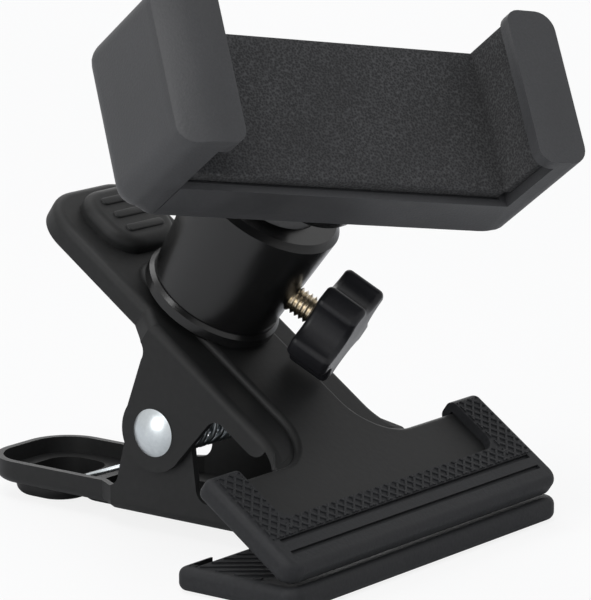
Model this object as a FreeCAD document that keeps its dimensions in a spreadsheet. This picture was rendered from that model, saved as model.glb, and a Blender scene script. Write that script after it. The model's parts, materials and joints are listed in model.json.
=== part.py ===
"""Spring clamp with a ball head and a sprung phone clip, sizes in millimetres.

Row frame: +Z up, X along the clamp's pivot, the jaws bite towards -Y.
The origin is on the lower pad's underside, midway between its grooves and its window.
"""
import FreeCAD, Part
import math
import os

import Sketcher

from FreeCAD import Placement, Rotation, Vector

# Driving dimensions
SIZES = {
    # stamped levers
    "sheet": 1.2,
    "pivot_drop": 14.9,
    "plate_step": 1.2,
    "handle_reach": 42.0,
    "handle_round": 8.0,
    "ear_half": 14.5,
    "ear_gap": 0.3,
    "joggle": 2.0,
    "joggle_back": 14.0,
    "joggle_front": 10.5,
    "ear_round": 6.6,
    "ear_flare": 2.2,
    "flange_depth": 4.0,
    "neck_end": 19.0,
    "neck_flare": 9.0,
    "neck_lap": 1.5,
    "neck_reach": 5.0,
    "ridge_half": 8.0,
    "ridge_gap": 2.5,
    "bulge_length": 13.8,
    "bulge_end": 3.2,
    "bulge_round": 5.5,
    "bulge_edge": 1.8,
    "bend": 1.6,
    "ear_blend": 2.5,
    "emboss": 1.0,
    "jaw_half": 35.0,
    "plate_back": 24.0,
    "upper_reach": 44.2,
    "lower_reach": 46.0,
    "trim": 0.05,
    # rubber boots
    "boot_wall": 1.5,
    "boot_skin": 1.6,
    "boot_lining": 1.2,
    "boot_back": 22.6,
    "boot_arm": 7.6,
    "boot_band": 10.0,
    "boot_corner": 2.8,
    "boot_edge": 1.4,
    "boot_window": 3.0,
    "boot_groove": 0.5,
    "groove_width": 0.8,
    "groove_pitch": 2.6,
    "bite_gap": 0.3,
    # rivet and torsion spring
    "rivet_radius": 2.5,
    "rivet_head": 4.0,
    "rivet_dome": 1.5,
    "rivet_play": 0.1,
    "running_fit": 0.05,
    "wire": 1.5,
    "coil_radius": 4.4,
    "coil_half": 6.0,
    "coil_turns": 5,
    "leg_reach": 27.0,
    # ball head
    "head_back": 11.0,
    "ring_radius": 11.9,
    "ring_height": 2.8,
    "ring_edge": 0.6,
    "housing_foot": 11.1,
    "housing_rim": 12.8,
    "housing_height": 20.5,
    "housing_floor": 4.0,
    "rim_edge": 1.0,
    "ball_radius": 8.5,
    "ball_sunk": 3.0,
    "ball_fit": 0.1,
    "seat_cone": 3.6,
    "seat_rise": 4.0,
    "neck_radius": 4.2,
    "neck_length": 14.5,
    "stud_radius": 3.175,
    "screw_radius": 2.4,
    "screw_head": 4.5,
    "screw_head_height": 2.4,
    "screw_length": 7.0,
    "screw_play": 0.2,
    # thumb screw
    "thumb_height": 7.3,
    "thumb_turn_angle": 18.0,
    "thumb_stud": 2.4,
    "thumb_gap": 5.0,
    "thumb_tip": 0.5,
    "thumb_cap": 2.0,
    "knob_radius": 9.2,
    "knob_height": 7.5,
    "knob_scallop": 4.4,
    "knob_scallop_out": 11.0,
    "knob_lobes": 5,
    "knob_edge": 1.0,
    # phone clip
    "clip_gap": 57.0,
    "clip_length": 27.0,
    "clip_base": 8.8,
    "clip_height": 24.3,
    "fixed_wall": 5.5,
    "sliding_wall": 7.5,
    "lip_over": 2.0,
    "lip_height": 2.6,
    "lip_corner": 1.5,
    "jaw_corner": 3.5,
    "corner_ease": 0.3,
    "clip_round": 4.5,
    "foam": 2.0,
    "jaw_foam": 1.5,
    "foam_margin": 1.0,
    "slide_gap": 0.3,
    "clip_wall": 2.0,
    "clip_roof": 1.4,
    "end_wall": 2.4,
    "bay_end": 6.0,
    "tongue_half": 8.0,
    "tongue_thickness": 2.6,
    "tongue_reach": 12.0,
    "crossbar": 3.0,
    "cover": 1.6,
    "spring_wire": 0.6,
    "spring_coil": 1.1,
    "spring_turns": 9,
    "nut_flats": 11.1,
    "nut_height": 2.6,
    "boss_wall": 1.6,
    "post_radius": 2.2,
    "post_across": 8.0,
    "post_inset": 5.0,
    "cover_screw": 0.9,
    "cover_screw_head": 1.7,
    "cover_screw_cap": 0.9,
    "cover_fit": 0.1,
    # fit of the clip on the ball head
    "nut_radius": 11.0,
    "lock_nut_height": 7.2,
    "lock_nut_edge": 1.0,
    "seat_gap": 0.3,
    "mount_across": 5.5,
    "clip_tilt_angle": 23.0,
    "clip_pan_angle": 34.5,
    "clip_swivel_angle": 13.2,
}


class Size:
    """A length with its number and the sheet formula that it comes from."""

    def __init__(self, value, formula):
        self.value = value
        self.formula = formula

    def _joined(self, other, sign, value):
        return Size(value, f"({self.formula} {sign} {formula_of(other)})")

    def __add__(self, other):
        return self._joined(other, "+", self.value + number_of(other))

    def __sub__(self, other):
        return self._joined(other, "-", self.value - number_of(other))

    def __mul__(self, other):
        return self._joined(other, "*", self.value * number_of(other))

    def __truediv__(self, other):
        return self._joined(other, "/", self.value / number_of(other))

    def __neg__(self):
        return Size(-self.value, f"(0 - {self.formula})")


def number_of(length):
    """The plain number of a size or a number."""
    return length.value if isinstance(length, Size) else float(length)


def formula_of(length):
    """The sheet formula of a size or a number."""
    return length.formula if isinstance(length, Size) else f"({float(length)})"


doc = FreeCAD.newDocument("phone_clamp")
sheet = doc.addObject("Spreadsheet::Sheet", "Sizes")
for row, (alias, value) in enumerate(SIZES.items(), start=1):
    sheet.set(f"A{row}", alias)
    sheet.set(f"B{row}", str(value))
    sheet.setAlias(f"B{row}", alias)
doc.recompute()


def size(alias):
    """The named size, read from the sheet."""
    return Size(float(sheet.get(alias)), f"Sizes.{alias}")


def bind(thing, prop, length):
    """Set a property to a size and tie it to the sheet."""
    thing.setExpression(prop, formula_of(length))


# Sketch helpers
def new_body(label):
    """An empty body with its own label."""
    body = doc.addObject("PartDesign::Body", label)
    body.Label = label
    return body


def sketch_on(body, role, name, lift=0):
    """A sketch on one of the body's own origin planes, lifted along its normal."""
    plane = next(item for item in body.Origin.OriginFeatures if item.Role == role)
    sketch = body.newObject("Sketcher::SketchObject", name)
    sketch.AttachmentSupport = [(plane, "")]
    sketch.MapMode = "FlatFace"
    sketch.AttachmentOffset = Placement(Vector(0, 0, number_of(lift)), Rotation())
    bind(sketch, "AttachmentOffset.Base.z", lift)
    return sketch


def arc_centre(start, end, radius):
    """Centre of the short arc from start to end; a positive radius turns left."""
    chord = end - start
    half = chord.Length / 2
    rise = math.sqrt(max(radius * radius - half * half, 0.0))
    left = Vector(-chord.y, chord.x, 0).normalize()
    return (start + end) / 2 + left * math.copysign(rise, radius)


def fix_point(sketch, geo, pos, corner):
    """Hold a sketch point at a corner given by two sizes."""
    for kind, axis, length in (("DistanceX", -2, corner[0]), ("DistanceY", -1, corner[1])):
        if number_of(length) == 0:
            sketch.addConstraint(Sketcher.Constraint("PointOnObject", geo, pos, axis))
            continue
        index = sketch.addConstraint(
            Sketcher.Constraint(kind, -1, 1, geo, pos, number_of(length)))
        bind(sketch, f"Constraints[{index}]", length)


def outline(sketch, corners, bends=None):
    """Draw a closed outline; bends[i] is the arc radius from corner i to the next, 0 a line."""
    bends = bends or [0] * len(corners)
    points = [Vector(number_of(x), number_of(y), 0) for x, y in corners]
    ends = []
    for i, start in enumerate(points):
        end = points[(i + 1) % len(points)]
        radius = number_of(bends[i])
        if radius == 0:
            geo = sketch.addGeometry(Part.LineSegment(start, end), False)
            ends.append((geo, 1, 2))
            continue
        centre = arc_centre(start, end, radius)
        first, last = (start, end) if radius > 0 else (end, start)
        angles = [math.atan2(p.y - centre.y, p.x - centre.x) for p in (first, last)]
        circle = Part.Circle(centre, Vector(0, 0, 1), abs(radius))
        geo = sketch.addGeometry(Part.ArcOfCircle(circle, angles[0], angles[1]), False)
        ends.append((geo, 1, 2) if radius > 0 else (geo, 2, 1))
    for i, (geo, _, tail) in enumerate(ends):
        following, head, _ = ends[(i + 1) % len(ends)]
        sketch.addConstraint(Sketcher.Constraint("Coincident", geo, tail, following, head))
    for i, (geo, head, _) in enumerate(ends):
        fix_point(sketch, geo, head, corners[i])
        if number_of(bends[i]) != 0:
            radius = bends[i] if number_of(bends[i]) > 0 else -bends[i]
            index = sketch.addConstraint(
                Sketcher.Constraint("Radius", geo, number_of(radius)))
            bind(sketch, f"Constraints[{index}]", radius)


def mirrored(half, bends):
    """Corners and bends of an outline that is the same on both sides of x = 0."""
    corners = list(half) + [(-x, y) for x, y in reversed(half)]
    return corners, list(bends) + [0] + list(reversed(bends)) + [0]


def circle(sketch, x, y, radius):
    """A full circle held at its centre."""
    geo = sketch.addGeometry(
        Part.Circle(Vector(number_of(x), number_of(y), 0), Vector(0, 0, 1), number_of(radius)), False)
    fix_point(sketch, geo, 3, (x, y))
    index = sketch.addConstraint(Sketcher.Constraint("Radius", geo, number_of(radius)))
    bind(sketch, f"Constraints[{index}]", radius)


def rectangle(sketch, low, high):
    """A rectangle from its low corner to its high corner."""
    outline(sketch, [low, (high[0], low[1]), high, (low[0], high[1])])


def pad(body, sketch, name, length, both_ways=False):
    """Extrude a sketch along its normal."""
    feature = body.newObject("PartDesign::Pad", name)
    feature.Profile = sketch
    feature.SideType = "Symmetric" if both_ways else "One side"
    bind(feature, "Length", length)
    doc.recompute()
    return feature


def cut(body, sketch, name, length, both_ways=False, forward=True):
    """Cut a sketch out of the body, forward being along the sketch's normal."""
    before = body.Shape.Volume
    feature = body.newObject("PartDesign::Pocket", name)
    feature.Profile = sketch
    feature.SideType = "Symmetric" if both_ways else "One side"
    feature.Reversed = forward and not both_ways
    bind(feature, "Length", length)
    doc.recompute()
    if not body.Shape.Volume < before:
        raise RuntimeError(f"{body.Label}: {name} removes nothing")
    return feature


def turned(label, corners, bends=None):
    """A body turned about its own Z axis from a half outline in x and z."""
    body = new_body(label)
    sketch = sketch_on(body, "XZ_Plane", f"{label}_outline")
    outline(sketch, corners, bends)
    feature = body.newObject("PartDesign::Revolution", f"{label}_turn")
    feature.Profile = sketch
    feature.ReferenceAxis = (sketch, ["V_Axis"])
    feature.Angle = 360
    doc.recompute()
    return body


def round_edges(body, name, radius, test):
    """Fillet every edge of the body whose vertices all pass the test."""
    base = body.Tip
    names = [f"Edge{i}" for i, edge in enumerate(base.Shape.Edges, start=1)
             if all(test(vertex.Point) for vertex in edge.Vertexes)]
    if not names:
        raise RuntimeError(f"{body.Label}: {name} finds no edge")
    feature = body.newObject("PartDesign::Fillet", name)
    feature.Base = (base, names)
    bind(feature, "Radius", radius)
    doc.recompute()
    return feature


def near(a, b):
    """True where two numbers are the same point of the geometry."""
    return abs(a - number_of(b)) < 1e-4


# Shared places
drop = size("pivot_drop")
plate_top = drop + size("plate_step")
bulge_top = plate_top + size("boot_skin")
bite_face = plate_top - size("sheet") - size("boot_lining")
pivot_height = bulge_top
grooves_end = size("boot_edge") + size("groove_pitch") * 2
strip_middle = (grooves_end + size("boot_band")) / 2
pivot_back = size("lower_reach") - strip_middle
pivot_place = Vector(0, pivot_back.value, pivot_height.value)
skirt = size("ear_round") + size("sheet")
bulge_back = size("handle_reach") - size("bulge_end")
bulge_front = bulge_back - size("bulge_length")
ridge_back = bulge_front - size("ridge_gap")


def closed_angle():
    """Angle of the upper lever at which the two boots all but touch at their front."""
    edge = size("boot_edge").value
    forward = size("upper_reach").value - edge
    above = bite_face.value + edge
    fall = bite_face.value - size("bite_gap").value - edge
    return math.degrees(math.asin(fall / math.hypot(forward, above)) + math.atan2(above, forward))


lower_frame = Placement(pivot_place, Rotation(Vector(0, 1, 0), 180))
upper_frame = Placement(pivot_place, Rotation(Vector(1, 0, 0), closed_angle()))


# Stamped levers: x across, y towards the handle, z out through the web
def channel_outline(ear_half, inset):
    """Outline of the channel-shaped part of a lever, drawn in by the sheet or not."""
    ear = ear_half - inset
    handle = ear - size("joggle")
    end = size("handle_reach") - inset
    corner = size("handle_round") - inset
    flare = size("neck_flare") + inset
    flare_start = size("neck_flare") - size("plate_back") - size("neck_lap")
    half = [
        (ear + flare, -(size("plate_back") + size("neck_reach"))),
        (ear + flare, flare_start - flare),
        (ear, flare_start),
        (ear, size("joggle_front")),
        (handle, size("joggle_back")),
        (handle, end - corner),
        (handle - corner, end),
    ]
    bends = [0, -flare, 0, 0, 0, corner]
    return mirrored(half, bends)


def plate_outline(reach, inset):
    """Outline of the ridge that widens into the jaw plate."""
    ridge = size("ridge_half") - inset
    corner = ridge / 2
    flare = size("neck_flare") + inset
    back = size("plate_back") - inset
    jaw = size("jaw_half") - inset
    front = reach - size("boot_wall") - inset
    half = [
        (jaw, -front),
        (jaw, -back),
        (ridge + flare, -back),
        (ridge, flare - back),
        (ridge, ridge_back - inset - corner),
        (ridge - corner, ridge_back - inset),
    ]
    bends = [0, 0, -flare, 0, corner]
    return mirrored(half, bends)


def bulge_outline(inset):
    """Outline of the finger bulge near the end of the handle."""
    half_width = size("ridge_half") - inset
    corner = size("bulge_round") - inset
    front = bulge_front + inset
    end = bulge_back - inset
    half = [
        (half_width - corner, front),
        (half_width, front + corner),
        (half_width, end - corner),
        (half_width - corner, end),
    ]
    return mirrored(half, [corner, 0, corner])


def side_outline(reach):
    """What is cut away below the flanges, round the ears and under the jaw plate."""
    beyond = size("sheet")
    back = size("handle_reach") + beyond
    front = -(reach + beyond)
    low = -(skirt + beyond)
    flange = drop - size("flange_depth")
    blend = size("ear_blend")
    ear = size("ear_round")
    ear_back = ear + size("ear_flare")
    ear_front = -(ear + size("ear_flare") / 2)
    web_under = drop - size("sheet") + size("trim")
    plate_under = plate_top - size("sheet") + size("trim")
    neck_round = web_under - flange
    step = -(size("plate_back") + size("sheet"))
    corners = [
        (back, flange),
        (ear_back + blend, flange),
        (ear_back, flange - blend),
        (ear, 0),
        (0, -ear),
        (-ear, 0),
        (ear_front, flange - blend),
        (ear_front - blend, flange),
        (neck_round - size("neck_end"), flange),
        (-size("neck_end"), web_under),
        (step, web_under),
        (step, plate_under),
        (front, plate_under),
        (front, low),
        (back, low),
    ]
    bends = [0, blend, 0, -ear, -ear, 0, blend, 0, -neck_round, 0, 0, 0, 0, 0, 0]
    return corners, bends


def stamped_lever(label, ear_half, reach, frame):
    """A lever pressed from one sheet: handle, ears, ridge and jaw plate."""
    body = new_body(label)
    wall = size("sheet")
    forms = (
        ("channel", channel_outline(ear_half, 0), channel_outline(ear_half, wall), drop, "bend"),
        ("plate", plate_outline(reach, 0), plate_outline(reach, wall), plate_top, "emboss"),
        ("bulge", bulge_outline(0), bulge_outline(wall), bulge_top, "bulge_edge"),
    )
    for name, outer, _, top, edge in forms:
        sketch = sketch_on(body, "XY_Plane", f"{label}_{name}", -skirt)
        outline(sketch, *outer)
        pad(body, sketch, f"{label}_{name}_pad", skirt + top)
        round_edges(body, f"{label}_{name}_edge", size(edge), lambda p, top=top: near(p.z, top))
    for name, _, inner, top, _ in forms:
        sketch = sketch_on(body, "XY_Plane", f"{label}_{name}_inside", -skirt)
        outline(sketch, *inner)
        cut(body, sketch, f"{label}_{name}_hollow", skirt + top - wall)
    side = sketch_on(body, "YZ_Plane", f"{label}_side")
    outline(side, *side_outline(reach))
    cut(body, side, f"{label}_trim", (size("jaw_half") + wall) * 2, both_ways=True)
    hole = sketch_on(body, "YZ_Plane", f"{label}_pivot")
    circle(hole, 0, 0, size("rivet_radius") + size("running_fit"))
    cut(body, hole, f"{label}_pivot_hole", (ear_half + wall) * 2, both_ways=True)
    body.Placement = frame
    return body


upper_ear = size("ear_half")
lower_ear = upper_ear - size("sheet") - size("ear_gap")
upper_jaw_arm = stamped_lever("upper_jaw_arm", upper_ear, size("upper_reach"), upper_frame)
screw_hole = sketch_on(upper_jaw_arm, "XY_Plane", "ball_head_hole", plate_top - size("sheet") * 2)
circle(screw_hole, 0, size("head_back"), size("screw_radius") + size("screw_play"))
cut(upper_jaw_arm, screw_hole, "ball_head_hole_cut", size("sheet") * 3)
lower_jaw_arm = stamped_lever("lower_jaw_arm", lower_ear, size("lower_reach"), lower_frame)


# Rubber boots on the jaw plates
def boot(label, reach, frame):
    """A boot that wraps the jaw plate, with a window on its outer side."""
    body = new_body(label)
    half = size("jaw_half") + size("boot_wall")
    corner = size("boot_corner")
    back = -size("boot_back")
    block = sketch_on(body, "XY_Plane", f"{label}_outline", bite_face)
    outline(block, *mirrored(
        [(half - corner, -reach), (half, corner - reach), (half, back - corner / 2), (half - corner / 2, back)],
        [corner, 0, corner / 2]))
    pad(body, block, f"{label}_block", bulge_top - bite_face)
    edge = size("boot_edge")
    round_edges(body, f"{label}_edges", edge, lambda p: near(p.z, bulge_top) or near(p.z, bite_face))

    window_half = half - size("boot_arm")
    inner = size("boot_window")
    band = size("boot_band") - reach
    beyond = back + size("boot_wall")
    plate_back = -size("plate_back")
    slot = sketch_on(body, "XY_Plane", f"{label}_slot", plate_top - size("sheet"))
    rectangle(slot, (-size("jaw_half"), size("boot_wall") - reach), (size("jaw_half"), plate_back))
    cut(body, slot, f"{label}_slot_cut", size("sheet"))
    window = sketch_on(body, "XY_Plane", f"{label}_window", plate_top)
    outline(window, *mirrored(
        [(window_half - inner, band), (window_half, band + inner), (window_half, beyond)], [inner, 0]))
    cut(body, window, f"{label}_window_cut", size("boot_skin") * 2)
    neck = sketch_on(body, "XY_Plane", f"{label}_neck", bite_face - size("boot_skin"))
    neck_front = plate_back - size("sheet") - size("bite_gap")
    rectangle(neck, (-window_half, neck_front), (window_half, beyond))
    cut(body, neck, f"{label}_neck_cut", (bulge_top - bite_face) * 2)
    lining = sketch_on(body, "XY_Plane", f"{label}_lining", bite_face)
    rectangle(lining, (-size("jaw_half"), neck_front), (size("jaw_half"), plate_back))
    cut(body, lining, f"{label}_lining_cut", size("boot_lining"))
    grooves = sketch_on(body, "XY_Plane", f"{label}_grooves", bulge_top - size("boot_groove"))
    for count in (1, 2):
        front = edge + size("groove_pitch") * count - size("groove_width") - reach
        groove_half = half - corner
        rectangle(grooves, (-groove_half, front), (groove_half, front + size("groove_width")))
    cut(body, grooves, f"{label}_grooves_cut", size("boot_skin"))
    body.Placement = frame
    return body


upper_jaw_pad = boot("upper_jaw_pad", size("upper_reach"), upper_frame)
lower_jaw_pad = boot("lower_jaw_pad", size("lower_reach"), lower_frame)

# Pivot rivet, turned about X
head_seat = upper_ear + size("rivet_play")
head_top = head_seat + size("rivet_dome")
dome = (size("rivet_head") * size("rivet_head") / size("rivet_dome") + size("rivet_dome")) / 2
pivot_rivet = turned("pivot_rivet", [
    (0, -head_top),
    (size("rivet_head"), -head_seat),
    (size("rivet_radius"), -head_seat),
    (size("rivet_radius"), head_seat),
    (size("rivet_head"), head_seat),
    (0, head_top),
], [dome, 0, 0, 0, dome, 0])
pivot_rivet.Placement = Placement(pivot_place, Rotation(Vector(0, 1, 0), 90))


# Torsion spring round the rivet, with a leg in each handle
def swept(path, radius):
    """A round wire along a path of joined edges."""
    first = path.OrderedEdges[0]
    start = first.valueAt(first.FirstParameter)
    along = first.tangentAt(first.FirstParameter)
    ring = Part.Wire([Part.makeCircle(radius, start, along)])
    return path.makePipeShell([ring], True, True)


def leg_angle():
    """Angle at which a leg leaves the coil to lie along the inside of a web."""
    wire = size("wire").value / 2
    lie = drop.value - size("sheet").value - wire - size("bite_gap").value
    reach = size("leg_reach").value
    turn = math.asin(size("coil_radius").value / math.hypot(reach, lie))
    return math.degrees(math.atan2(lie, reach) - turn)


def wire_spring():
    """Leg under the upper handle, coil about the rivet along X, leg in the lower handle."""
    half = size("coil_half").value
    first_turn = 90 + closed_angle() + leg_angle()
    last_turn = 270 - leg_angle()
    turns = size("coil_turns").value + (last_turn - first_turn) / 360
    coil = Part.makeHelix(2 * half / turns, 2 * half, size("coil_radius").value)
    along_x = Rotation(Vector(1, 1, 1), 120)
    coil.Placement = Placement(Vector(-half, 0, 0), Rotation(Vector(1, 0, 0), first_turn) * along_x)
    edges = coil.Edges
    first, last = edges[0], edges[-1]
    ends = (
        (first.valueAt(first.FirstParameter), -first.tangentAt(first.FirstParameter)),
        (last.valueAt(last.LastParameter), last.tangentAt(last.LastParameter)),
    )
    reach = size("leg_reach").value
    legs = [Part.LineSegment(point, point + along * reach).toShape() for point, along in ends]
    path = Part.Wire([legs[0], *edges, legs[1]])
    return swept(path, size("wire").value / 2)


torsion_spring = doc.addObject("Part::Feature", "torsion_spring")
torsion_spring.Shape = wire_spring()
torsion_spring.Placement = Placement(pivot_place, Rotation())

# Ball head on the ridge of the upper lever: z along its axis, -y towards the thumb screw
head_place = upper_frame * Placement(Vector(0, size("head_back").value, plate_top.value), Rotation())
head_frame = head_place * Placement(Vector(), Rotation(Vector(0, 0, 1), size("thumb_turn_angle").value))
screw_bore = size("screw_radius") + size("screw_play")
screw_top = size("screw_length") - size("sheet")
ring_top = size("ring_height")
housing_top = ring_top + size("housing_height")
ball_centre = housing_top - size("ball_sunk")
socket = size("ball_radius") + size("ball_fit")
stud_level = ring_top + size("thumb_height")


def root(length):
    """Square root of a size."""
    return Size(math.sqrt(length.value), f"sqrt({length.formula})")


screw_seat = -size("sheet")
ball_head_screw = turned("ball_head_screw", [
    (0, screw_seat - size("screw_head_height")),
    (size("screw_head") - size("ring_edge"), screw_seat - size("screw_head_height")),
    (size("screw_head"), screw_seat - size("screw_head_height") + size("ring_edge")),
    (size("screw_head"), screw_seat),
    (size("screw_radius"), screw_seat),
    (size("screw_radius"), screw_top),
    (0, screw_top),
])
ring = size("ring_radius")
ring_edge = size("ring_edge")
base_ring = turned("base_ring", [
    (screw_bore, 0),
    (ring - ring_edge, 0),
    (ring, ring_edge),
    (ring, ring_top - ring_edge),
    (ring - ring_edge, ring_top),
    (screw_bore, ring_top),
])
mouth = root(socket * socket - size("ball_sunk") * size("ball_sunk"))
rim = size("housing_rim")
floor_top = ring_top + size("housing_floor")
ball_housing = turned("ball_housing", [
    (0, screw_top),
    (size("screw_radius"), screw_top),
    (size("screw_radius"), ring_top),
    (size("housing_foot"), ring_top),
    (rim, housing_top - size("rim_edge")),
    (rim - size("rim_edge"), housing_top),
    (mouth, housing_top),
    (socket, ball_centre),
    (socket, floor_top),
    (0, floor_top),
], [0, 0, 0, 0, 0, 0, -socket, 0, 0, 0])
thread = sketch_on(ball_housing, "XZ_Plane", "thumb_thread")
circle(thread, 0, stud_level, size("thumb_stud") + size("running_fit"))
cut(ball_housing, thread, "thumb_thread_cut", rim + rim)

seat_radius = socket - size("running_fit")
seat_low = stud_level
seat_top = ball_centre - size("seat_rise")
seat_mouth = root(socket * socket - size("seat_rise") * size("seat_rise"))
ball_seat = turned("ball_seat", [
    (0, seat_low),
    (size("seat_cone"), seat_low),
    (seat_radius, seat_low + seat_radius - size("seat_cone")),
    (seat_radius, seat_top),
    (seat_mouth, seat_top),
    (0, ball_centre - socket),
], [0, 0, 0, 0, -socket, 0])
for piece in (ball_head_screw, base_ring, ball_housing, ball_seat):
    piece.Placement = head_frame

# Thumb screw: z outwards along its own axis
knob_face = size("housing_foot") + size("thumb_gap")
knob_back = knob_face + size("knob_height")
stud_end = knob_back - size("thumb_cap")
stud_tip = size("seat_cone") + size("ball_fit") + size("thumb_tip")
stud_shoulder = size("seat_cone") + size("ball_fit") + size("thumb_stud")
thumb_frame = head_frame * Placement(Vector(0, 0, stud_level.value), Rotation(Vector(1, 0, 0), 90))
thumb_screw_stud = turned("thumb_screw_stud", [
    (0, stud_tip),
    (size("thumb_tip"), stud_tip),
    (size("thumb_stud"), stud_shoulder),
    (size("thumb_stud"), stud_end),
    (0, stud_end),
])
thumb_knob = new_body("thumb_knob")
disc = sketch_on(thumb_knob, "XY_Plane", "knob_disc", knob_face)
circle(disc, 0, 0, size("knob_radius"))
pad(thumb_knob, disc, "knob_blank", size("knob_height"))
scallop = sketch_on(thumb_knob, "XY_Plane", "knob_scallop", knob_face)
circle(scallop, 0, size("knob_scallop_out"), size("knob_scallop"))
scallop_cut = cut(thumb_knob, scallop, "knob_scallop_cut", size("knob_height"))
lobes = thumb_knob.newObject("PartDesign::PolarPattern", "knob_lobes_pattern")
lobes.Originals = [scallop_cut]
lobes.Axis = (scallop, ["N_Axis"])
lobes.Angle = 360
bind(lobes, "Occurrences", size("knob_lobes"))
thumb_knob.Tip = lobes
doc.recompute()
round_edges(thumb_knob, "knob_rounding", size("knob_edge"),
            lambda p: near(p.z, knob_face) or near(p.z, knob_back))
knob_hole = sketch_on(thumb_knob, "XY_Plane", "knob_hole", knob_face)
circle(knob_hole, 0, 0, size("thumb_stud"))
cut(thumb_knob, knob_hole, "knob_hole_cut", size("knob_height") - size("thumb_cap"))
for piece in (thumb_screw_stud, thumb_knob):
    piece.Placement = thumb_frame

# Ball stem and lock nut: z along the stem from the ball's centre
ball_place = head_place * Placement(Vector(0, 0, ball_centre.value), Rotation())
stem_turn = (Rotation(Vector(0, 0, 1), -size("clip_pan_angle").value)
             * Rotation(Vector(1, 0, 0), size("clip_tilt_angle").value)
             * Rotation(Vector(0, 0, 1), size("clip_swivel_angle").value))
stem_frame = ball_place * Placement(Vector(), stem_turn)
nut_low = size("neck_length") + size("seat_gap")
nut_high = nut_low + size("lock_nut_height")
clip_back = nut_high + size("seat_gap")
stud_reach = clip_back + size("cover") + size("nut_height") - size("seat_gap")
ball = size("ball_radius")
neck = size("neck_radius")
ball_stem = turned("ball_stem", [
    (0, -ball),
    (neck, root(ball * ball - neck * neck)),
    (neck, size("neck_length")),
    (size("stud_radius"), size("neck_length")),
    (size("stud_radius"), stud_reach),
    (0, stud_reach),
], [ball, 0, 0, 0, 0, 0])
nut_bore = size("stud_radius") + size("running_fit")
nut_edge = size("lock_nut_edge")
nut = size("nut_radius")
lock_nut = turned("lock_nut", [
    (nut_bore, nut_low),
    (nut - nut_edge * 2, nut_low),
    (nut, nut_low + nut_edge),
    (nut, nut_high - nut_edge),
    (nut - nut_edge, nut_high),
    (nut_bore, nut_high),
])
for piece in (ball_stem, lock_nut):
    piece.Placement = stem_frame

# Phone clip: x along the slide, y along the phone, z out from the clip's back
mount_x = size("mount_across")
clip_frame = stem_frame * Placement(Vector(-mount_x.value, 0, clip_back.value), Rotation())
half_gap = size("clip_gap") / 2
half_length = size("clip_length") / 2
base_top = size("clip_base")
clip_top = size("clip_height")
lip_under = clip_top - size("lip_height")
wall_in = half_gap + size("jaw_foam")
lip_in = half_gap - size("lip_over")
base_left = size("slide_gap") - wall_in
bay_left = base_left + size("end_wall")
bay_right = half_gap - size("bay_end")
bay_half = half_length - size("clip_wall")
bay_roof = base_top - size("clip_roof")
tongue_top = bay_roof - size("slide_gap")
tongue_low = tongue_top - size("tongue_thickness")
turn = size("clip_round")
BEVEL = 1 - 1 / math.sqrt(2)
lip_bevel = size("lip_corner")


def round_jaw(body, outer, side):
    """Round the two upright outer corners of a clip jaw."""
    ease = size("corner_ease")
    corner = size("jaw_corner") + ease
    beyond = outer + ease * side
    ends = sketch_on(body, "XY_Plane", f"{body.Label}_corners", -ease)
    for end in (-1, 1):
        edge = (half_length + ease) * end
        outline(ends, [
            (beyond, edge),
            (beyond - corner * side, edge),
            (beyond, edge - corner * end),
        ], [0, corner * (-side * end), 0])
    cut(body, ends, f"{body.Label}_corners_cut", clip_top + ease * 2)


clip_base = new_body("clip_base")
fixed_out = wall_in + size("fixed_wall")
profile = sketch_on(clip_base, "XZ_Plane", "clip_base_profile")
outline(profile, [
    (base_left, 0),
    (fixed_out - turn, 0),
    (fixed_out - turn * BEVEL, turn * BEVEL),
    (fixed_out, turn),
    (fixed_out, clip_top - lip_bevel),
    (fixed_out - lip_bevel, clip_top),
    (lip_in, clip_top),
    (lip_in, lip_under),
    (wall_in, lip_under),
    (wall_in, base_top),
    (base_left, base_top),
])
pad(clip_base, profile, "clip_base_block", size("clip_length"), both_ways=True)
bay = sketch_on(clip_base, "XY_Plane", "spring_bay")
rectangle(bay, (bay_left, -bay_half), (bay_right, bay_half))
cut(clip_base, bay, "spring_bay_cut", bay_roof)
post_x = bay_right - size("post_inset")
posts = sketch_on(clip_base, "XY_Plane", "screw_posts", size("cover"))
for side in (-1, 1):
    circle(posts, post_x, size("post_across") * side, size("post_radius"))
pad(clip_base, posts, "screw_posts_pad", bay_roof - size("cover") + size("clip_roof") / 2)
post_holes = sketch_on(clip_base, "XY_Plane", "post_holes", size("cover"))
for side in (-1, 1):
    circle(post_holes, post_x, size("post_across") * side, size("cover_screw"))
cut(clip_base, post_holes, "post_holes_cut", bay_roof - size("cover") * 2)
gate = sketch_on(clip_base, "YZ_Plane", "tongue_gate", base_left - size("end_wall"))
gate_half = size("tongue_half") + size("slide_gap")
rectangle(gate, (-gate_half, tongue_low - size("slide_gap")), (gate_half, bay_roof))
cut(clip_base, gate, "tongue_gate_cut", size("end_wall") * 3)
round_jaw(clip_base, fixed_out, 1)

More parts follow.
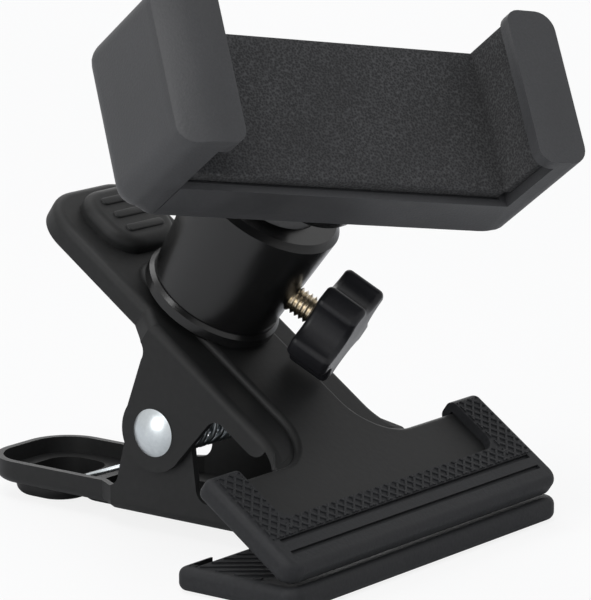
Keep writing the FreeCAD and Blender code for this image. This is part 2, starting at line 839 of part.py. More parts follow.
sliding_jaw = new_body("sliding_jaw")
slide_out = -(wall_in + size("sliding_wall"))
profile = sketch_on(sliding_jaw, "XZ_Plane", "sliding_jaw_profile")
outline(profile, [
    (-wall_in, 0),
    (-wall_in, lip_under),
    (-lip_in, lip_under),
    (-lip_in, clip_top),
    (slide_out + lip_bevel, clip_top),
    (slide_out, clip_top - lip_bevel),
    (slide_out, turn),
    (slide_out + turn * BEVEL, turn * BEVEL),
    (slide_out + turn, 0),
])
pad(sliding_jaw, profile, "sliding_jaw_block", size("clip_length"), both_ways=True)
tongue = sketch_on(sliding_jaw, "XY_Plane", "sliding_tongue", tongue_low)
bar_half = bay_half - size("slide_gap")
bar_end = size("tongue_reach") + size("crossbar")
tongue_half = size("tongue_half")
outline(tongue, [
    (slide_out / 2 - wall_in / 2, -tongue_half),
    (size("tongue_reach"), -tongue_half),
    (size("tongue_reach"), -bar_half),
    (bar_end, -bar_half),
    (bar_end, bar_half),
    (size("tongue_reach"), bar_half),
    (size("tongue_reach"), tongue_half),
    (slide_out / 2 - wall_in / 2, tongue_half),
])
pad(sliding_jaw, tongue, "sliding_tongue_pad", size("tongue_thickness"))
round_jaw(sliding_jaw, slide_out, -1)


def hexagon(sketch, middle, flats):
    """A hexagon about a point on the X axis, given its width across flats."""
    radius = flats / math.sqrt(3)
    corners = []
    for step in range(6):
        angle = math.radians(60 * step + 30)
        corners.append((middle + radius * math.cos(angle), radius * math.sin(angle)))
    outline(sketch, corners)


back_cover = new_body("back_cover")
fit = size("cover_fit")
plate = sketch_on(back_cover, "XY_Plane", "cover_plate")
rectangle(plate, (bay_left + fit, fit - bay_half), (bay_right - fit, bay_half - fit))
pad(back_cover, plate, "cover_plate_pad", size("cover"))
boss = sketch_on(back_cover, "XY_Plane", "nut_boss")
circle(boss, mount_x, 0, size("nut_flats") / math.sqrt(3) + size("boss_wall"))
pad(back_cover, boss, "nut_boss_pad", size("cover") + size("nut_height"))
pocket = sketch_on(back_cover, "XY_Plane", "nut_pocket", size("cover"))
hexagon(pocket, mount_x, size("nut_flats"))
cut(back_cover, pocket, "nut_pocket_cut", size("nut_height") * 2)
holes = sketch_on(back_cover, "XY_Plane", "cover_holes")
circle(holes, mount_x, 0, size("stud_radius") + size("seat_gap"))
for side in (-1, 1):
    circle(holes, post_x, size("post_across") * side, size("cover_screw"))
cut(back_cover, holes, "cover_holes_cut", size("cover") * 2)

mount_nut = new_body("mount_nut")
flats = sketch_on(mount_nut, "XY_Plane", "nut_flats_outline", size("cover"))
hexagon(flats, mount_x, size("nut_flats"))
circle(flats, mount_x, 0, nut_bore)
pad(mount_nut, flats, "mount_nut_pad", size("nut_height"))


def block(label, low, high):
    """A plain rectangular piece between two corners."""
    box = doc.addObject("Part::Box", label)
    box.Label = label
    for prop, near_side, far_side in zip(("Length", "Width", "Height"), low, high):
        bind(box, prop, far_side - near_side)
    corner = Vector(*(number_of(value) for value in low))
    box.Placement = clip_frame * Placement(corner, Rotation())
    return box


foam_half = half_length - size("foam_margin")
foam_top = base_top + size("foam")
foam_end = half_gap - size("slide_gap")
base_pad = block("base_pad", (-foam_end, -foam_half, base_top), (foam_end, foam_half, foam_top))
fixed_jaw_pad = block("fixed_jaw_pad", (half_gap, -foam_half, foam_top), (wall_in, foam_half, lip_under))
sliding_jaw_pad = block("sliding_jaw_pad", (-wall_in, -foam_half, foam_top), (-half_gap, foam_half, lip_under))


def clip_spring(label, side):
    """A compression spring beside the tongue, between the base's end and the crossbar."""
    end_gap = fit + size("spring_wire") / 2
    start = bay_left + end_gap
    length = size("tongue_reach") - end_gap - start
    coil = Part.makeHelix(length.value / size("spring_turns").value, length.value, size("spring_coil").value)
    spring = doc.addObject("Part::Feature", label)
    spring.Shape = swept(coil, size("spring_wire").value / 2)
    across = (bay_half + tongue_half) / 2 * side
    level = (tongue_low + tongue_top) / 2
    place = Vector(start.value, across.value, level.value)
    spring.Placement = clip_frame * Placement(place, Rotation(Vector(0, 1, 0), 90))
    return spring


upper_clip_spring = clip_spring("upper_clip_spring", 1)
lower_clip_spring = clip_spring("lower_clip_spring", -1)


def cover_screw(side):
    """One small screw through the cover into its post."""
    name = "upper" if side > 0 else "lower"
    place = Vector(post_x.value, size("post_across").value * side, 0)
    shank = doc.addObject("Part::Cylinder", f"{name}_cover_shank")
    bind(shank, "Radius", size("cover_screw"))
    bind(shank, "Height", bay_roof - size("cover"))
    shank.Placement = clip_frame * Placement(place, Rotation())
    head = doc.addObject("Part::Cylinder", f"{name}_cover_head")
    bind(head, "Radius", size("cover_screw_head"))
    bind(head, "Height", size("cover_screw_cap"))
    head.Placement = shank.Placement * Placement(Vector(0, 0, -size("cover_screw_cap").value), Rotation())
    whole = doc.addObject("Part::Fuse", f"{name}_cover_screw")
    whole.Base = shank
    whole.Tool = head
    return whole


cover_screws = doc.addObject("Part::Compound", "cover_screws")
cover_screws.Links = [cover_screw(1), cover_screw(-1)]

for piece in (clip_base, sliding_jaw, back_cover, mount_nut):
    piece.Placement = clip_frame

# Check and write every sub-part
NODES = (
    lower_jaw_arm, lower_jaw_pad, pivot_rivet, torsion_spring,
    upper_jaw_arm, upper_jaw_pad, ball_head_screw, base_ring, ball_housing,
    thumb_screw_stud, thumb_knob, ball_seat, ball_stem, lock_nut,
    clip_base, back_cover, mount_nut, cover_screws, base_pad, fixed_jaw_pad,
    upper_clip_spring, lower_clip_spring, sliding_jaw, sliding_jaw_pad,
)
doc.recompute()
for item in doc.Objects:
    if "Invalid" in item.State or "Error" in item.State:
        raise RuntimeError(f"{item.Label} failed: {item.State}")
for node in NODES:
    if node.Shape.isNull() or not node.Shape.isValid():
        raise RuntimeError(f"{node.Label} has no valid shape")
os.makedirs("parts", exist_ok=True)
for node in NODES:
    node.Shape.exportStep(f"parts/{node.Label}.step")
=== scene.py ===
"""Looks of the guitar phone holder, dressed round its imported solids.

The row frame is in metres. Pieces are shaped in millimetres in the frame of what carries them,
and put in their place once they are finished.
"""

import json
import logging
import math
from dataclasses import dataclass
from enum import Enum
from typing import Any, Callable, ClassVar, Sequence

import bpy
from mathutils import Matrix, Vector


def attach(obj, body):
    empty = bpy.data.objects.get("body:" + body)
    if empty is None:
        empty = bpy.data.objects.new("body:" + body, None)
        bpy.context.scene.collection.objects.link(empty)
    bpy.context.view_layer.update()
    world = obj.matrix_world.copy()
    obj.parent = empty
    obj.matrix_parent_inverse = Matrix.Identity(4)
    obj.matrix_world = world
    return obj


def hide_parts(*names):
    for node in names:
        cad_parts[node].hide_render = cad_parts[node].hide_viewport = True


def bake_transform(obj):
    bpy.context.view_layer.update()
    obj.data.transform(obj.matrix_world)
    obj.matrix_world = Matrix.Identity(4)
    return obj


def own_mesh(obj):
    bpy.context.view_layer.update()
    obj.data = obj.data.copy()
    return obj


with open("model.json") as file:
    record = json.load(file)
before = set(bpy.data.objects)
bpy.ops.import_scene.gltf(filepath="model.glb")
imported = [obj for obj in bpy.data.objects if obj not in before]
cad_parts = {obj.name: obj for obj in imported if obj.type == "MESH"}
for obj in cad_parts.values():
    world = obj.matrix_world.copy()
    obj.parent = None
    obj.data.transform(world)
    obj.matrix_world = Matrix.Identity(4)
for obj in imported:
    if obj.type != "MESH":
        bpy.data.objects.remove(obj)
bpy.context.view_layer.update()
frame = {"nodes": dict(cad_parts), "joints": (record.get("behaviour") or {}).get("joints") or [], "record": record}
LOG = logging.getLogger("phone_holder")
MM = 0.001
NEAR = 1e-3
FACING = 0.9
Corner = Sequence[float]


class Pick(Enum):
    """What an edit-mode step selects, as Blender's vertex, edge and face switches."""

    POINTS = (True, False, False)
    EDGES = (False, True, False)
    FACES = (False, False, True)


class Bench:
    """Operator steps that the pieces are shaped with."""

    @staticmethod
    def only(piece: bpy.types.Object) -> None:
        """Select one piece in object mode and make it the active one."""
        if bpy.context.mode != "OBJECT":
            bpy.ops.object.mode_set(mode="OBJECT")
        bpy.ops.object.select_all(action="DESELECT")
        piece.select_set(True)
        bpy.context.view_layer.objects.active = piece

    @staticmethod
    def clear() -> None:
        """Leave edit mode with nothing selected."""
        if bpy.context.mode != "OBJECT":
            bpy.ops.object.mode_set(mode="OBJECT")
        bpy.ops.object.select_all(action="DESELECT")

    @staticmethod
    def named(name: str) -> bpy.types.Object:
        """Give the object that was just added its name.

        Args:
            name: Name of the piece and its mesh.

        Returns:
            The piece, with its place applied to its mesh.
        """
        piece = bpy.context.object
        piece.name = name
        piece.data.name = name
        bpy.ops.object.transform_apply(location=True, rotation=True, scale=True)
        return piece

    @staticmethod
    def block(name: str, low: Corner, high: Corner) -> bpy.types.Object:
        """Add a block between two corners.

        Args:
            name: Name of the piece.
            low: Lowest corner.
            high: Highest corner.

        Returns:
            The new piece.
        """
        Bench.clear()
        start, end = Vector(low), Vector(high)
        bpy.ops.mesh.primitive_cube_add(size=1.0, location=(start + end) / 2, scale=end - start)
        return Bench.named(name)

    @staticmethod
    def rod(name: str, radius: float, low: float, high: float, sides: int) -> bpy.types.Object:
        """Add a rod along Z.

        Args:
            name: Name of the piece.
            radius: Radius of the rod.
            low: Lower end.
            high: Upper end.
            sides: Number of sides.

        Returns:
            The new piece.
        """
        Bench.clear()
        bpy.ops.mesh.primitive_cylinder_add(
            vertices=sides, radius=radius, depth=high - low, location=(0, 0, (low + high) / 2))
        return Bench.named(name)

    @staticmethod
    def pick(piece: bpy.types.Object, what: Pick, test: Callable[..., bool]) -> None:
        """Go into edit mode with what passes a test selected.

        Args:
            piece: Piece to edit.
            what: Kind of element to select.
            test: Takes a point, an edge's two points, or a face's centre and normal.
        """
        Bench.only(piece)
        bpy.context.tool_settings.mesh_select_mode = what.value
        bpy.ops.object.mode_set(mode="EDIT")
        bpy.ops.mesh.select_all(action="DESELECT")
        bpy.ops.object.mode_set(mode="OBJECT")
        mesh = piece.data
        if what is Pick.FACES:
            for face in mesh.polygons:
                face.select = test(face.center, face.normal)
        elif what is Pick.EDGES:
            for edge in mesh.edges:
                edge.select = test(*(mesh.vertices[index].co for index in edge.vertices))
        else:
            for vertex in mesh.vertices:
                vertex.select = test(vertex.co)
        bpy.ops.object.mode_set(mode="EDIT")

    @staticmethod
    def everything(piece: bpy.types.Object) -> None:
        """Go into edit mode with the whole mesh selected."""
        Bench.only(piece)
        bpy.ops.object.mode_set(mode="EDIT")
        bpy.ops.mesh.select_all(action="SELECT")

    @staticmethod
    def extrude(step: Corner) -> None:
        """Extrude the selection by a step."""
        bpy.ops.mesh.extrude_region_move(TRANSFORM_OT_translate={"value": step})

    @staticmethod
    def move(piece: bpy.types.Object, where: Matrix) -> None:
        """Move a piece's mesh by a matrix and leave its object unturned at the origin."""
        Bench.only(piece)
        piece.matrix_world = where
        bpy.ops.object.transform_apply(location=True, rotation=True, scale=True)

    @staticmethod
    def round_edges(piece: bpy.types.Object, radius: float, steps: int,
                    test: Callable[..., bool]) -> None:
        """Bevel the edges that pass a test.

        Args:
            piece: Piece to edit.
            radius: Width of the rounding.
            steps: Number of segments.
            test: Takes an edge's two points.
        """
        Bench.pick(piece, Pick.EDGES, test)
        bpy.ops.mesh.bevel(offset=radius, segments=steps, profile=0.5, affect="EDGES",
                           clamp_overlap=False)
        bpy.ops.object.mode_set(mode="OBJECT")

    @staticmethod
    def slice(piece: bpy.types.Object, point: Corner, normal: Corner, trim: bool = False) -> None:
        """Cut the whole mesh by a plane.

        Args:
            piece: Piece to edit.
            point: A point of the plane.
            normal: Normal of the plane.
            trim: Whether the side that the normal points to is removed and the cut closed.
        """
        Bench.everything(piece)
        bpy.ops.mesh.bisect(plane_co=point, plane_no=normal, use_fill=trim, clear_outer=trim)
        bpy.ops.object.mode_set(mode="OBJECT")

    @staticmethod
    def modify(piece: bpy.types.Object, kind: str, **settings: Any) -> None:
        """Add a modifier with its settings and apply it."""
        Bench.only(piece)
        modifier = piece.modifiers.new(kind.title(), kind)
        for key, value in settings.items():
            setattr(modifier, key, value)
        bpy.ops.object.modifier_apply(modifier=modifier.name)

    @staticmethod
    def carve(piece: bpy.types.Object, tool: bpy.types.Object) -> None:
        """Cut one piece out of another and remove the cutter."""
        Bench.modify(piece, "BOOLEAN", operation="DIFFERENCE", object=tool, solver="EXACT")
        bpy.data.objects.remove(tool)

    @staticmethod
    def join(piece: bpy.types.Object, *others: bpy.types.Object) -> bpy.types.Object:
        """Join other meshes into one piece and return it."""
        Bench.only(piece)
        for other in others:
            other.select_set(True)
        bpy.ops.object.join()
        return piece

    @staticmethod
    def outward(piece: bpy.types.Object) -> None:
        """Merge doubles and turn every face outwards."""
        Bench.everything(piece)
        bpy.ops.mesh.remove_doubles(threshold=NEAR)
        bpy.ops.mesh.normals_make_consistent(inside=False)
        bpy.ops.object.mode_set(mode="OBJECT")

    @staticmethod
    def place(piece: bpy.types.Object, where: Matrix, crease: float = 35.0) -> None:
        """Put a finished piece in its place, with the place in its mesh.

        Args:
            piece: Piece shaped in millimetres.
            where: Frame of what carries it, in metres.
            crease: Angle in degrees past which an edge stays sharp.
        """
        Bench.move(piece, where @ Matrix.Scale(MM, 4))
        bpy.ops.object.shade_smooth_by_angle(angle=math.radians(crease))
        Bench.clear()


class Grain(Enum):
    """Kinds of surface texture."""

    PAINT = "orange peel"
    MOULDED = "fine spark texture"
    RUBBER = "soft mottle"
    FOAM = "open speckle"
    DRAWN = "drawn metal"


@dataclass(frozen=True)
class Finish:
    """One surface finish, built from procedural nodes on Object coordinates."""

    CLOUD_SHARE: ClassVar[float] = 0.04
    CLOUD_DETAIL: ClassVar[float] = 4.0
    TONE_SPAN: ClassVar[tuple[float, float]] = (0.12, 0.5)
    GLOSS_SPAN: ClassVar[tuple[float, float]] = (0.3, 0.7)
    PAINT_DETAIL: ClassVar[float] = 2.0
    FINE_DETAIL: ClassVar[float] = 6.0
    DRAWN_STRETCH: ClassVar[tuple[float, float, float]] = (0.12, 1.0, 1.0)

    name: str
    colour: tuple[float, float, float]
    light: tuple[float, float, float]
    roughness: float
    spread: float
    grain: Grain
    scale: float
    depth: float
    metallic: float = 0.0
    specular: float = 0.5
    mottle: float = 1.0

    def make(self) -> bpy.types.Material:
        """Build the material.

        Returns:
            A material whose colour, roughness and bump all vary over the surface.
        """
        material = bpy.data.materials.new(self.name)
        material.use_nodes = True
        nodes, links = material.node_tree.nodes, material.node_tree.links
        shader = nodes["Principled BSDF"]
        shader.inputs["Metallic"].default_value = self.metallic
        shader.inputs["Specular IOR Level"].default_value = self.specular
        place = nodes.new("ShaderNodeTexCoord").outputs["Object"]
        fine = self.texture(nodes, links, place)
        cloud = nodes.new("ShaderNodeTexNoise")
        cloud.inputs["Scale"].default_value = self.scale * self.CLOUD_SHARE
        cloud.inputs["Detail"].default_value = self.CLOUD_DETAIL
        links.new(place, cloud.inputs["Vector"])
        tone = nodes.new("ShaderNodeMath")
        tone.operation = "MULTIPLY"
        links.new(fine, tone.inputs[0])
        even = nodes.new("ShaderNodeMapRange")
        even.inputs["To Min"].default_value = 0.5 - 0.5 * self.mottle
        even.inputs["To Max"].default_value = 0.5 + 0.5 * self.mottle
        links.new(cloud.outputs["Fac"], even.inputs["Value"])
        links.new(even.outputs["Result"], tone.inputs[1])
        ramp = nodes.new("ShaderNodeValToRGB")
        for element, place_on_ramp, tint in zip(ramp.color_ramp.elements, self.TONE_SPAN,
                                                (self.colour, self.light)):
            element.position = place_on_ramp
            element.color = (*tint, 1.0)
        links.new(tone.outputs["Value"], ramp.inputs["Fac"])
        links.new(ramp.outputs["Color"], shader.inputs["Base Color"])
        gloss = nodes.new("ShaderNodeMapRange")
        gloss.inputs["From Min"].default_value, gloss.inputs["From Max"].default_value = self.GLOSS_SPAN
        gloss.inputs["To Min"].default_value = self.roughness - self.spread
        gloss.inputs["To Max"].default_value = self.roughness + self.spread
        links.new(cloud.outputs["Fac"], gloss.inputs["Value"])
        links.new(gloss.outputs["Result"], shader.inputs["Roughness"])
        bump = nodes.new("ShaderNodeBump")
        bump.inputs["Strength"].default_value = 1.0
        bump.inputs["Distance"].default_value = self.depth
        links.new(fine, bump.inputs["Height"])
        links.new(bump.outputs["Normal"], shader.inputs["Normal"])
        return material

    def texture(self, nodes: Any, links: Any, place: Any) -> Any:
        """Add the fine texture of this finish's grain.

        Args:
            nodes: Nodes of the material.
            links: Links of the material.
            place: Socket of the coordinates.

        Returns:
            Socket with the texture's height, from 0 to 1.
        """
        if self.grain is Grain.FOAM:
            cells = nodes.new("ShaderNodeTexVoronoi")
            cells.inputs["Scale"].default_value = self.scale
            cells.inputs["Randomness"].default_value = 1.0
            links.new(place, cells.inputs["Vector"])
            return cells.outputs["Distance"]
        noise = nodes.new("ShaderNodeTexNoise")
        noise.inputs["Scale"].default_value = self.scale
        noise.inputs["Detail"].default_value = (
            self.PAINT_DETAIL if self.grain is Grain.PAINT else self.FINE_DETAIL)
        if self.grain is Grain.DRAWN:
            stretch = nodes.new("ShaderNodeMapping")
            stretch.inputs["Scale"].default_value = self.DRAWN_STRETCH
            links.new(place, stretch.inputs["Vector"])
            place = stretch.outputs["Vector"]
        links.new(place, noise.inputs["Vector"])
        return noise.outputs["Fac"]


class Finishes:
    """The holder's finishes, each built once."""

    LEVER_PAINT = Finish("black_lever_paint", (0.0100, 0.0102, 0.0102), (0.0145, 0.0147, 0.0147),
                         0.52, 0.04, Grain.PAINT, 900.0, 0.00002, specular=0.24)
    BOOT_RUBBER = Finish("boot_rubber", (0.013, 0.0135, 0.0145), (0.021, 0.0215, 0.0235), 0.58, 0.06,
                         Grain.RUBBER, 1500.0, 0.00004, specular=0.22)
    CLIP_PLASTIC = Finish("clip_plastic", (0.038, 0.0385, 0.040), (0.050, 0.0505, 0.053), 0.50, 0.05,
                          Grain.MOULDED, 2600.0, 0.00004, specular=0.3)
    PAD_FOAM = Finish("pad_foam", (0.028, 0.028, 0.0285), (0.074, 0.074, 0.075), 0.85, 0.05,
                      Grain.FOAM, 2700.0, 0.00005, specular=0.1, mottle=0.3)
    HEAD_COATING = Finish("head_coating", (0.0050, 0.0050, 0.0050), (0.0070, 0.0070, 0.0070), 0.25, 0.03,
                          Grain.PAINT, 1300.0, 0.00001, specular=0.45)
    KNOB_PLASTIC = Finish("knob_plastic", (0.010, 0.010, 0.0115), (0.015, 0.015, 0.017), 0.36, 0.05,
                          Grain.MOULDED, 2200.0, 0.00002, specular=0.25)
    NICKEL = Finish("nickel_stud", (0.60, 0.53, 0.42), (0.74, 0.68, 0.57), 0.24, 0.06,
                    Grain.DRAWN, 2500.0, 0.000005, metallic=1.0)
    ZINC = Finish("bright_zinc", (0.56, 0.60, 0.62), (0.70, 0.74, 0.76), 0.34, 0.06,
                  Grain.DRAWN, 1800.0, 0.000006, metallic=1.0)
    DARK_STEEL = Finish("blackened_steel", (0.05, 0.05, 0.05), (0.08, 0.08, 0.08), 0.30, 0.05,
                        Grain.DRAWN, 1500.0, 0.000006, metallic=1.0)

    def __init__(self) -> None:
        """Start with no finish built."""
        self.built: dict[str, bpy.types.Material] = {}

    def of(self, finish: Finish) -> bpy.types.Material:
        """The material of a finish, built on its first use."""
        if finish.name not in self.built:
            self.built[finish.name] = finish.make()
        return self.built[finish.name]

    def coat(self, piece: bpy.types.Object, finish: Finish) -> None:
        """Give a new piece its finish."""
        piece.data.materials.clear()
        piece.data.materials.append(self.of(finish))

    def hand_over(self, piece: bpy.types.Object, finish: Finish, body: str, slot: str,
                  *nodes: str) -> None:
        """Dress a finished piece and hand it to its body.

        Args:
            piece: The piece, in its place.
            finish: Its finish.
            body: Body that it rides on.
            slot: The record's material slot; not used.
            nodes: CAD nodes that it stands for.
        """
        self.coat(piece, finish)
        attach(piece, body)
        if nodes:
            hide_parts(*nodes)
        LOG.info("%s rides on %s", piece.name, body)

    def coat_node(self, name: str, finish: Finish) -> None:
        """Give a CAD node a finish in each of its material slots."""
        for slot in frame["nodes"][name].material_slots:
            slot.material = self.of(finish)


class Places:
    """Frames of the sub-assemblies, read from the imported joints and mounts."""

    def __init__(self) -> None:
        """Read the frames."""
        joints = {joint["name"]: joint for joint in frame["joints"]}
        across = Vector((1, 0, 0))
        pivot = joints["clamp_open"]["pos_m"]
        self.upper = self.axes(pivot, across, joints["ball_pan_turn"]["axis"])
        self.lower = self.axes(pivot, -across, (0, 0, -1))
        cradle = next(mount for mount in frame["record"]["mounts"] if mount["name"] == "phone_cradle")
        rise = Vector(cradle["axis"]) * (PhoneClip.base + PhoneClip.foam) * MM
        self.clip = self.axes(Vector(cradle["pos_m"]) - rise, -Vector(joints["jaw_slide"]["axis"]),
                              cradle["axis"])
        self.rivet = self.axes(pivot, (0, 1, 0), across)
        self.closed = math.degrees(self.upper.col[2].to_3d().angle(Vector((0, 0, 1))))
        thumb = joints["thumb_turn"]
        self.thumb = self.axes(thumb["pos_m"], across, thumb["axis"])

    @staticmethod
    def axes(origin: Corner, along_x: Corner, along_z: Corner) -> Matrix:
        """A frame from its origin and two of its axes.

        Args:
            origin: Place of the frame.
            along_x: Direction near its X axis.
            along_z: Its Z axis.

        Returns:
            The frame as a matrix.
        """
        up = Vector(along_z).normalized()
        side = Vector(along_x)
        side = (side - up * side.dot(up)).normalized()
        back = up.cross(side)
        turn = Matrix((side, back, up)).transposed().to_4x4()
        return Matrix.Translation(Vector(origin)) @ turn


class LipForm(Enum):
    """How the top of a jaw's lip is shaped."""

    SLOPED = "outer half falls away"
    CHAMFERED = "inner edge broken"


@dataclass
class PhoneClip:
    """Sprung clip that holds the phone: two lipped jaws, base, tongue and foam."""

    finishes: Finishes
    where: Matrix
    gap: float = 57.0
    length: float = 27.0
    base: float = 8.8
    height: float = 24.3
    fixed_wall: float = 5.5
    sliding_wall: float = 7.5
    lip_over: float = 2.0
    lip_height: float = 3.4
    fixed_lip: float = 2.1
    fall: float = 1.8
    slope: float = 5.4
    slope_blend: float = 1.6
    chamfer: float = 1.3
    corner: float = 3.2
    lip_corner: float = 2.6
    fixed_heel: float = 0.9
    sliding_heel: float = 4.4
    soft_edge: float = 0.3
    foam: float = 2.0
    jaw_foam: float = 1.5
    near_margin: float = 1.7
    far_margin: float = 0.5
    lap: float = 0.4
    lip_lap: float = 0.8
    slide_gap: float = 0.3
    seam: float = 0.06
    rim: float = 1.2
    recess: float = 0.6
    end_wall: float = 2.4
    bay_end: float = 6.0
    side_wall: float = 2.0
    roof: float = 1.4
    tongue_half: float = 8.0
    tongue: float = 2.6
    tongue_reach: float = 12.0
    crossbar: float = 3.0
    heel_steps: int = 8
    small_heel_steps: int = 4
    corner_steps: int = 6
    lip_steps: int = 5
    soft_steps: int = 2
    soft_angle: float = 38.0
    cutter_play: float = 1.0
    pad_cuts: int = 6
    pad_edge: float = 0.35
    pad_steps: int = 3
    pad_angle: float = 40.0
    pad_crease: float = 50.0

    def build(self) -> None:
        """Build the clip's shells and pads."""
        self.half = self.length / 2
        self.wall_in = self.gap / 2 + self.jaw_foam
        self.lip_in = self.gap / 2 - self.lip_over
        self.bay_roof = self.base - self.roof
        self.tongue_top = self.bay_roof - self.slide_gap
        self.tongue_low = self.tongue_top - self.tongue
        self.build_fixed_jaw()
        self.build_sliding_jaw()
        self.build_pads()

    def shell(self, name: str, side: int, end: float, wall: float, heel: float, lip_height: float,
              form: LipForm) -> bpy.types.Object:
        """Shape a jaw with its lip and rounded corners, with or without a base.

        Args:
            name: Name of the piece.
            side: 1 for the jaw at +X, -1 for the one at -X.
            end: X at which the base ends, or the jaw's inner wall where there is none.
            wall: Thickness of the jaw.
            heel: Radius between the jaw and the underside.
            lip_height: Thickness of the lip.
            form: Shape of the lip's top.

        Returns:
            The jaw's shell.
        """
        outer = side * (self.wall_in + wall)
        inner = side * self.wall_in
        lip = side * self.lip_in
        lip_under = self.height - lip_height
        low = (min(end, outer), -self.half, 0)
        piece = Bench.block(name, low, (max(end, outer), self.half, self.base))
        if abs(end - inner) > NEAR:
            Bench.slice(piece, (inner, 0, 0), (1, 0, 0))
        for rise in (lip_under - self.base, lip_height):
            Bench.pick(piece, Pick.FACES, lambda c, n: n.z > FACING and (c.x - inner) * side > NEAR)
            Bench.extrude((0, 0, rise))
        Bench.pick(piece, Pick.FACES, lambda c, n: n.x * side < -FACING and c.z > lip_under)
        Bench.extrude((lip - inner, 0, 0))
        Bench.pick(piece, Pick.FACES, lambda c, n: n.z > FACING and c.z > self.height - NEAR)
        bpy.ops.mesh.dissolve_faces()
        ends = (-self.half, self.half)
        if heel < self.corner:
            Bench.round_edges(piece, self.corner, self.corner_steps,
                              lambda a, b: self.both(a, b, 0, outer)
                              and any(self.both(a, b, 1, y) for y in ends))
            Bench.round_edges(piece, heel, self.small_heel_steps,
                              lambda a, b: self.both(a, b, 2, 0)
                              and min(a.x * side, b.x * side) > outer * side - self.corner - NEAR)
        else:
            Bench.round_edges(piece, heel, self.heel_steps,
                              lambda a, b: self.both(a, b, 0, outer) and self.both(a, b, 2, 0))
            heel_in = outer - side * heel
            Bench.round_edges(piece, self.corner, self.corner_steps,
                              lambda a, b: any(self.both(a, b, 1, y) for y in ends)
                              and min(a.x * side, b.x * side) > heel_in * side - NEAR
                              and not self.both(a, b, 2, 0) and min(a.z, b.z) < lip_under + NEAR)
        Bench.round_edges(piece, self.lip_corner, self.lip_steps,
                          lambda a, b: self.both(a, b, 0, lip)
                          and any(self.both(a, b, 1, y) for y in ends))
        if form is LipForm.CHAMFERED:
            Bench.round_edges(piece, self.chamfer, 1,
                              lambda a, b: self.both(a, b, 0, lip) and self.both(a, b, 2, self.height))
            return piece
        ridge = outer - side * self.slope
        Bench.slice(piece, (ridge, 0, 0), (1, 0, 0))
        Bench.pick(piece, Pick.POINTS,
                   lambda p: p.z > self.height - NEAR and (p.x - ridge) * side > NEAR)
        self.lower_outside(piece, ridge)
        Bench.round_edges(piece, self.slope_blend, self.lip_steps,
                          lambda a, b: self.both(a, b, 0, ridge) and self.both(a, b, 2, self.height))
        return piece

    def lower_outside(self, piece: bpy.types.Object, ridge: float) -> None:
        """Let the lip's selected top points fall with their distance from a ridge line."""
        bpy.ops.object.mode_set(mode="OBJECT")
        for point in piece.data.vertices:
            if point.select:
                point.co.z -= self.fall * abs(point.co.x - ridge) / self.slope

    @staticmethod
    def both(a: Vector, b: Vector, axis: int, value: float) -> bool:
        """True where both ends of an edge lie at a value on one axis."""
        return abs(a[axis] - value) < NEAR and abs(b[axis] - value) < NEAR

    def soften(self, piece: bpy.types.Object, body: str, slot: str, node: str) -> None:
        """Round the last sharp edges of a shell and hand it to its body."""
        Bench.outward(piece)
        Bench.modify(piece, "BEVEL", width=self.soft_edge, segments=self.soft_steps,
                     limit_method="ANGLE", angle_limit=math.radians(self.soft_angle))
        Bench.place(piece, self.where)
        self.finishes.hand_over(piece, Finishes.CLIP_PLASTIC, body, slot, node)

    def build_fixed_jaw(self) -> None:
        """Base with the fixed jaw, its foam recess and its spring bay."""
        left = self.seam - self.wall_in
        piece = self.shell("clip_shell", 1, left, self.fixed_wall, self.fixed_heel, self.fixed_lip,
                           LipForm.CHAMFERED)
        Bench.pick(piece, Pick.FACES, lambda c, n: n.z > FACING and abs(c.z - self.base) < NEAR)
        bpy.ops.mesh.inset(thickness=self.rim, depth=0)
        Bench.extrude((0, 0, -self.recess))
        bpy.ops.object.mode_set(mode="OBJECT")
        bay_half = self.half - self.side_wall
        bay = Bench.block("bay", (left + self.end_wall, -bay_half, -self.cutter_play),
                          (self.gap / 2 - self.bay_end, bay_half, self.bay_roof))
        Bench.carve(piece, bay)
        gate_half = self.tongue_half + self.slide_gap
        gate_low = self.tongue_low - self.slide_gap
        gate = Bench.block("gate", (left - self.cutter_play, -gate_half, gate_low),
                           (left + self.end_wall + self.cutter_play, gate_half, self.bay_roof))
        Bench.carve(piece, gate)
        self.soften(piece, "phone_clip", "clip_plastic", "clip_base")

    def build_sliding_jaw(self) -> None:
        """Sliding jaw with its tongue and crossbar."""
        piece = self.shell("sliding_shell", -1, -self.wall_in, self.sliding_wall, self.sliding_heel,
                           self.lip_height, LipForm.SLOPED)
        bar_half = self.half - self.side_wall - self.slide_gap
        start = -self.wall_in - self.sliding_wall / 2
        tongue = Bench.block("tongue", (start, -self.tongue_half, self.tongue_low),
                             (self.tongue_reach, self.tongue_half, self.tongue_top))
        bar = Bench.block("crossbar", (self.tongue_reach, -bar_half, self.tongue_low),
                          (self.tongue_reach + self.crossbar, bar_half, self.tongue_top))
        for part in (tongue, bar):
            Bench.modify(piece, "BOOLEAN", operation="UNION", object=part, solver="EXACT")
            bpy.data.objects.remove(part)
        self.soften(piece, "sliding_jaw", "clip_plastic", "sliding_jaw")

    def pad(self, name: str, low: Corner, high: Corner, body: str, node: str) -> None:
        """Shape one foam pad with soft edges.

        Args:
            name: Name of the piece.
            low: Lowest corner in the clip's frame.
            high: Highest corner.
            body: Body that it rides on.
            node: CAD node that it stands for.
        """
        piece = Bench.block(name, low, high)
        Bench.everything(piece)
        bpy.ops.mesh.subdivide(number_cuts=self.pad_cuts)
        bpy.ops.object.mode_set(mode="OBJECT")
        Bench.modify(piece, "BEVEL", width=self.pad_edge, segments=self.pad_steps,
                     limit_method="ANGLE", angle_limit=math.radians(self.pad_angle))
        Bench.place(piece, self.where, self.pad_crease)
        self.finishes.hand_over(piece, Finishes.PAD_FOAM, body, "foam", node)

